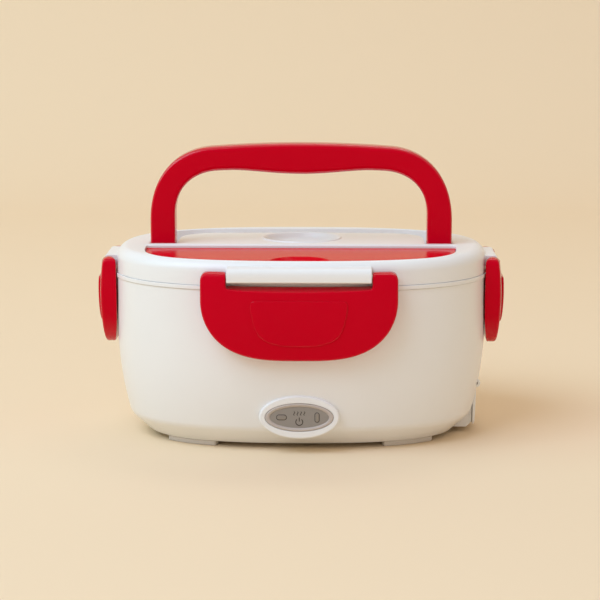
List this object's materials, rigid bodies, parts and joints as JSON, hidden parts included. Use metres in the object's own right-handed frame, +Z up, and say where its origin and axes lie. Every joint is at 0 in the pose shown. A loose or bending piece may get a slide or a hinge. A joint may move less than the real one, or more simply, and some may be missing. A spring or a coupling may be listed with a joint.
{
  "type": "electric lunch box",
  "caption": "Oval heated lunch box with a clip-on lid held by swinging latches, a folding carry handle, a spoon compartment and lift-out food containers.",
  "frame": {"origin": "on the table under the middle of the body", "axes": "+X to the right along the width, +Z up, -Y towards the front with the indicator panel"},
  "size_m": [0.238, 0.172, 0.1693],
  "materials": {
    "white_plastic": "smooth semi-gloss",
    "red_plastic": "smooth semi-gloss",
    "red_gloss": "polished gloss",
    "grey_plastic": "satin",
    "inlay_plastic": "satin",
    "print_ink": "flat print",
    "lamp_clear": "frosted",
    "well_plastic": "smooth",
    "container_plastic": "smooth",
    "plate_metal": "pressed",
    "steel": "plated",
    "heater_core": "ceramic and mica",
    "insulation": "glass fibre felt",
    "dark_plastic": "moulded",
    "cream_plastic": "moulded",
    "wire_brown": "silicone sleeve",
    "wire_blue": "silicone sleeve",
    "wire_white": "glass braid sleeve",
    "wire_red": "silicone sleeve",
    "board_green": "solder mask",
    "lamp_red": "clear tinted",
    "lamp_green": "clear tinted",
    "foot_plastic": "matte",
    "silicone": "matte silicone"
  },
  "bodies": {
    "base": {"body_shell": "white_plastic", "inner_well": "well_plastic", "heating_plate": "plate_metal", "heater_element": "heater_core", "insulation_pad": "insulation", "heater_clamp": "steel", "clamp_screws": "steel", "thermostat": "dark_plastic", "thermal_fuse": "cream_plastic", "terminal_block": "cream_plastic", "wire_live": "wire_brown", "wire_neutral": "wire_blue", "wire_heater": "wire_white", "wire_fuse": "wire_white", "wire_lamps": "wire_red", "indicator_board": "board_green", "heat_lamp": "lamp_red", "power_lamp": "lamp_green", "panel_plate": "grey_plastic", "panel_inlay": "inlay_plastic", "lamp_windows": "lamp_clear", "power_symbol": "print_ink", "inlet_housing": "white_plastic", "inlet_contacts": "steel", "flap_pin": "steel", "base_cover": "white_plastic", "base_screws": "steel", "feet": "foot_plastic"},
    "inlet_flap": {"inlet_flap": "white_plastic"},
    "main_container": {"main_container": "container_plastic"},
    "side_container": {"side_container": "container_plastic"},
    "side_container_lid": {"side_container_lid": "red_plastic"},
    "lid": {"lid_shell": "white_plastic", "lid_inner_plate": "well_plastic", "lid_gasket": "silicone", "latch_pins": "steel", "handle_pins": "steel", "spoon": "container_plastic"},
    "spoon_cover": {"spoon_cover": "red_gloss"},
    "vent_plug": {"vent_plug": "silicone"},
    "front_latch": {"front_latch": "red_plastic"},
    "rear_latch": {"rear_latch": "red_plastic"},
    "left_latch": {"left_latch": "red_plastic"},
    "right_latch": {"right_latch": "red_plastic"},
    "handle": {"handle": "red_plastic"}
  },
  "joints": [
    {"name": "lid_lift", "type": "slide", "parent": "base", "child": "lid", "axis": [0, 0, 1], "range_m": [0, 0.2]},
    {"name": "main_container_lift", "type": "slide", "parent": "base", "child": "main_container", "axis": [0, 0, 1], "range_m": [0, 0.09]},
    {"name": "side_container_lift", "type": "slide", "parent": "main_container", "child": "side_container", "axis": [0, 0, 1], "range_m": [0, 0.05]},
    {"name": "side_lid_lift", "type": "slide", "parent": "side_container", "child": "side_container_lid", "axis": [0, 0, 1], "range_m": [0, 0.03]},
    {"name": "handle_fold", "type": "hinge", "parent": "lid", "child": "handle", "pos_m": [0, 0, 0.1079], "axis": [-1, 0, 0], "range_deg": [0, 90]},
    {"name": "spoon_cover_hinge", "type": "hinge", "parent": "lid", "child": "spoon_cover", "pos_m": [0, -0.01485, 0.1089], "axis": [-1, 0, 0], "range_deg": [0, 80]},
    {"name": "vent_plug_lift", "type": "slide", "parent": "lid", "child": "vent_plug", "axis": [0, 0, 1], "range_m": [0, 0.012]},
    {"name": "front_latch_hinge", "type": "hinge", "parent": "lid", "child": "front_latch", "pos_m": [0, -0.0789, 0.1026], "axis": [-1, 0, 0], "range_deg": [0, 130]},
    {"name": "rear_latch_hinge", "type": "hinge", "parent": "lid", "child": "rear_latch", "pos_m": [0, 0.0789, 0.1026], "axis": [1, 0, 0], "range_deg": [0, 130]},
    {"name": "left_latch_hinge", "type": "hinge", "parent": "lid", "child": "left_latch", "pos_m": [-0.1119, 0, 0.1026], "axis": [0, 1, 0], "range_deg": [0, 130]},
    {"name": "right_latch_hinge", "type": "hinge", "parent": "lid", "child": "right_latch", "pos_m": [0.1119, 0, 0.1026], "axis": [0, -1, 0], "range_deg": [0, 130]},
    {"name": "inlet_flap_hinge", "type": "hinge", "parent": "base", "child": "inlet_flap", "pos_m": [0.103, 0, 0.0303], "axis": [0, -1, 0], "range_deg": [0, 120]}
  ],
  "couplings": [
    {"joint": "main_container_lift", "follows": "lid_lift", "ratio": 0.45},
    {"joint": "side_container_lift", "follows": "lid_lift", "ratio": 0.25},
    {"joint": "side_lid_lift", "follows": "lid_lift", "ratio": 0.15}
  ]
}
